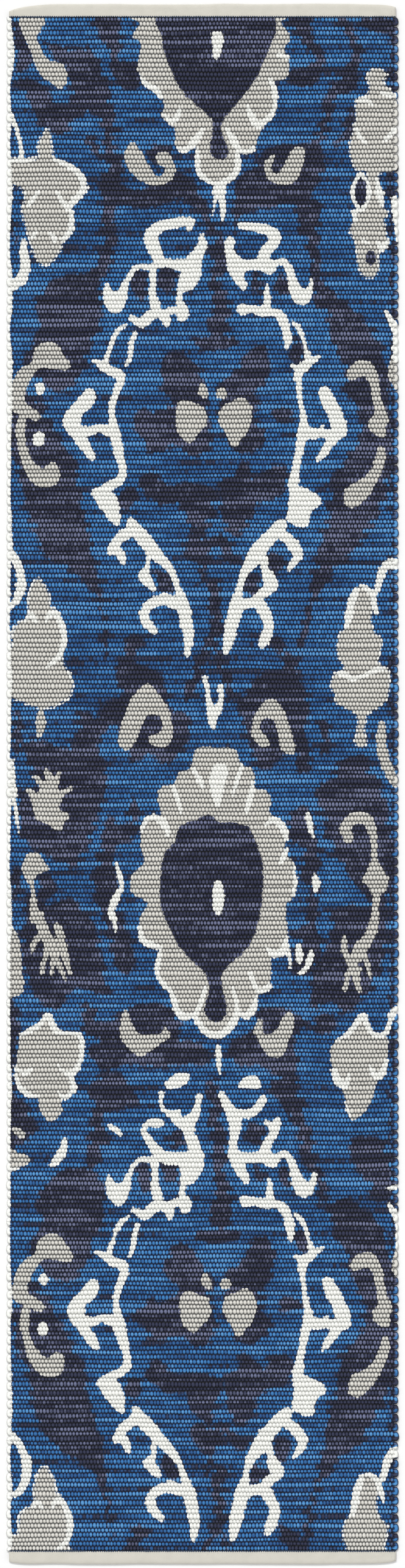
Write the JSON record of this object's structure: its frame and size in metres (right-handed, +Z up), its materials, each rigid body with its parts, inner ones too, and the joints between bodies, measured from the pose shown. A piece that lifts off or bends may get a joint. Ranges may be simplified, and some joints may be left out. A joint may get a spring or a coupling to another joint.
{
  "type": "runner rug",
  "caption": "Flat-woven rag runner rug with a printed scroll and medallion pattern, looped selvedges and folded binding tape sewn over both ends.",
  "frame": {"origin": "centre of the rug's underside, on the floor", "axes": "+Y along the rug's length towards its head end, +X across it towards its right selvedge seen from above, +Z up out of the printed face"},
  "size_m": [0.614, 2.438, 0.006],
  "materials": {
    "rag_weft": "matt printed cotton rag, blue, navy, grey and off-white",
    "cotton_warp": "matt fine twisted cotton yarn",
    "binding_cotton": "matt cream herringbone twill tape",
    "sewing_thread": "matt spun sewing thread"
  },
  "bodies": {
    "root": {"rag_strip_01": "rag_weft", "rag_strip_02": "rag_weft", "rag_strip_03": "rag_weft", "rag_strip_04": "rag_weft", "rag_strip_05": "rag_weft", "rag_strip_06": "rag_weft", "rag_strip_07": "rag_weft", "rag_strip_08": "rag_weft", "rag_strip_09": "rag_weft", "rag_strip_10": "rag_weft", "rag_strip_11": "rag_weft", "rag_strip_12": "rag_weft", "rag_strip_13": "rag_weft", "rag_strip_14": "rag_weft", "rag_strip_15": "rag_weft", "rag_strip_16": "rag_weft", "rag_strip_17": "rag_weft", "rag_strip_18": "rag_weft", "rag_strip_19": "rag_weft", "rag_strip_20": "rag_weft", "rag_strip_21": "rag_weft", "rag_strip_22": "rag_weft", "rag_strip_23": "rag_weft", "rag_strip_24": "rag_weft", "rag_strip_25": "rag_weft", "rag_strip_26": "rag_weft", "rag_strip_27": "rag_weft", "rag_strip_28": "rag_weft", "warp_yarns": "cotton_warp", "selvedge_cord_left": "cotton_warp", "selvedge_cord_right": "cotton_warp", "heading_head": "cotton_warp", "binding_tape_head": "binding_cotton", "face_seam_head": "sewing_thread", "back_seam_head": "sewing_thread", "end_stitches_head_a": "sewing_thread", "end_stitches_head_b": "sewing_thread", "heading_foot": "cotton_warp", "binding_tape_foot": "binding_cotton", "face_seam_foot": "sewing_thread", "back_seam_foot": "sewing_thread", "end_stitches_foot_a": "sewing_thread", "end_stitches_foot_b": "sewing_thread"}
  },
  "joints": []
}
